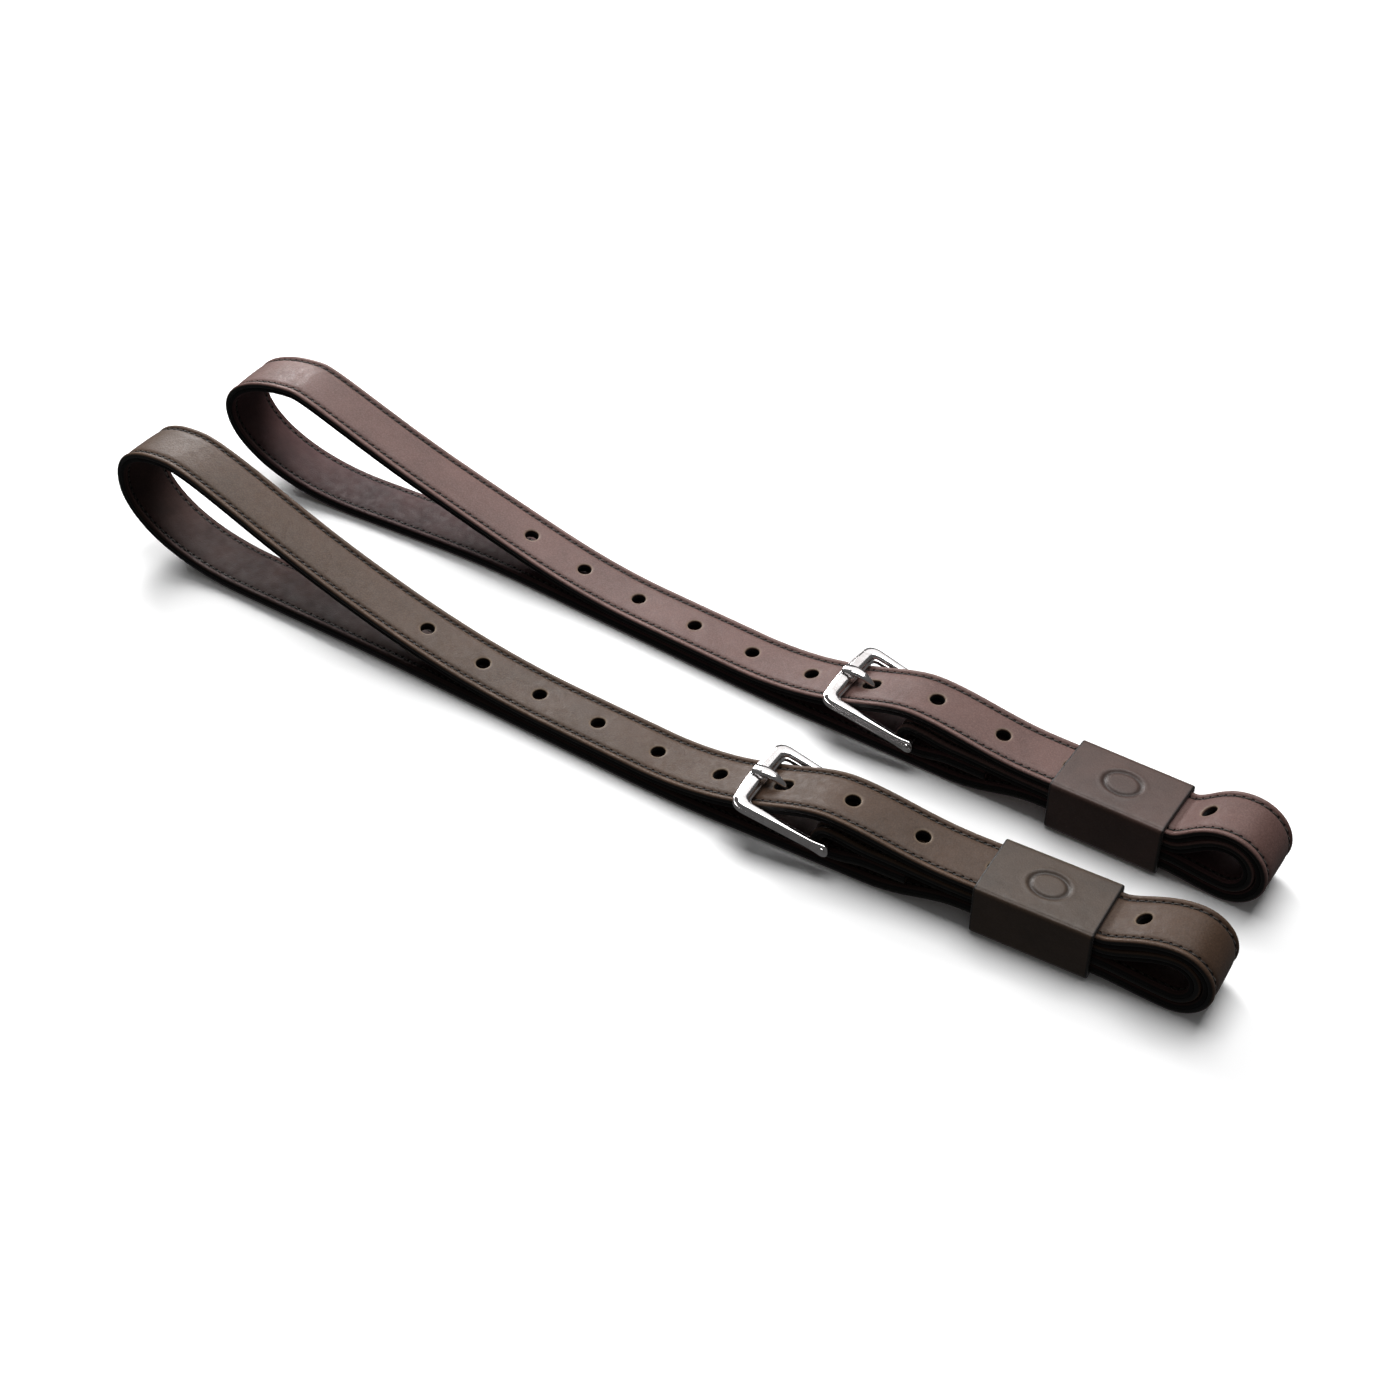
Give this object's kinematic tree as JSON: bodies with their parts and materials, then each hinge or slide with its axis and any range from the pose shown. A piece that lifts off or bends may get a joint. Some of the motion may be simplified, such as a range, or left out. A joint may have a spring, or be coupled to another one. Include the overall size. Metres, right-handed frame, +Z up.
{
  "type": "pair of buckled leather straps",
  "caption": "Pair of folded, stitched leather straps with punched holes, steel tongue buckles and sliding keepers, each leaving an open end loop.",
  "frame": {"origin": "on the table under the first hole of strap A, on the strap's centre line", "axes": "+X along strap A towards its buckle and keeper, +Y across to strap B, +Z up from the table"},
  "size_m": [0.441, 0.0923, 0.051],
  "materials": {
    "leather_face_a": "satin, fine grain",
    "leather_face_b": "satin, fine grain",
    "leather_lining_a": "soft, matt",
    "leather_lining_b": "soft, matt",
    "leather_keeper_a": "satin, smooth",
    "leather_keeper_b": "satin, smooth",
    "web": "woven nylon web",
    "thread": "waxed thread",
    "steel": "polished stainless steel"
  },
  "bodies": {
    "strap_a": {"face_leather_a": "leather_face_a", "lining_leather_a": "leather_lining_a", "web_core_a": "web", "edge_thread_near_a": "thread", "edge_thread_far_a": "thread", "chape_stitch_near_a": "thread", "chape_stitch_far_a": "thread"},
    "buckle_a": {"buckle_frame_a": "steel", "buckle_bar_a": "steel"},
    "tongue_a": {"buckle_tongue_a": "steel"},
    "keeper_a": {"keeper_a": "leather_keeper_a"},
    "strap_b": {"face_leather_b": "leather_face_b", "lining_leather_b": "leather_lining_b", "web_core_b": "web", "edge_thread_near_b": "thread", "edge_thread_far_b": "thread", "chape_stitch_near_b": "thread", "chape_stitch_far_b": "thread"},
    "buckle_b": {"buckle_frame_b": "steel", "buckle_bar_b": "steel"},
    "tongue_b": {"buckle_tongue_b": "steel"},
    "keeper_b": {"keeper_b": "leather_keeper_b"}
  },
  "joints": [
    {"name": "buckle_a_rock", "type": "hinge", "parent": "strap_a", "child": "buckle_a", "pos_m": [0.17186, 0.00419, 0.01085], "axis": [-0.0732, 0.9973, 0], "range_deg": [0, 2]},
    {"name": "tongue_a_lift", "type": "hinge", "parent": "buckle_a", "child": "tongue_a", "pos_m": [0.17186, 0.00419, 0.01085], "axis": [-0.0732, 0.9973, 0], "range_deg": [0, 2]},
    {"name": "keeper_a_slide", "type": "slide", "parent": "strap_a", "child": "keeper_a", "axis": [0.9973, 0.0732, 0], "range_m": [-0.007, 0]},
    {"name": "buckle_b_rock", "type": "hinge", "parent": "strap_b", "child": "buckle_b", "pos_m": [0.16996, 0.06125, 0.01085], "axis": [-0.0209, 0.9998, 0], "range_deg": [0, 2]},
    {"name": "tongue_b_lift", "type": "hinge", "parent": "buckle_b", "child": "tongue_b", "pos_m": [0.16996, 0.06125, 0.01085], "axis": [-0.0209, 0.9998, 0], "range_deg": [0, 2]},
    {"name": "keeper_b_slide", "type": "slide", "parent": "strap_b", "child": "keeper_b", "axis": [0.9998, 0.0209, 0], "range_m": [-0.007, 0]},
    {"name": "strap_b_apart", "type": "slide", "parent": "strap_a", "child": "strap_b", "axis": [0, 1, 0], "range_m": [-0.02, 0.06]}
  ]
}
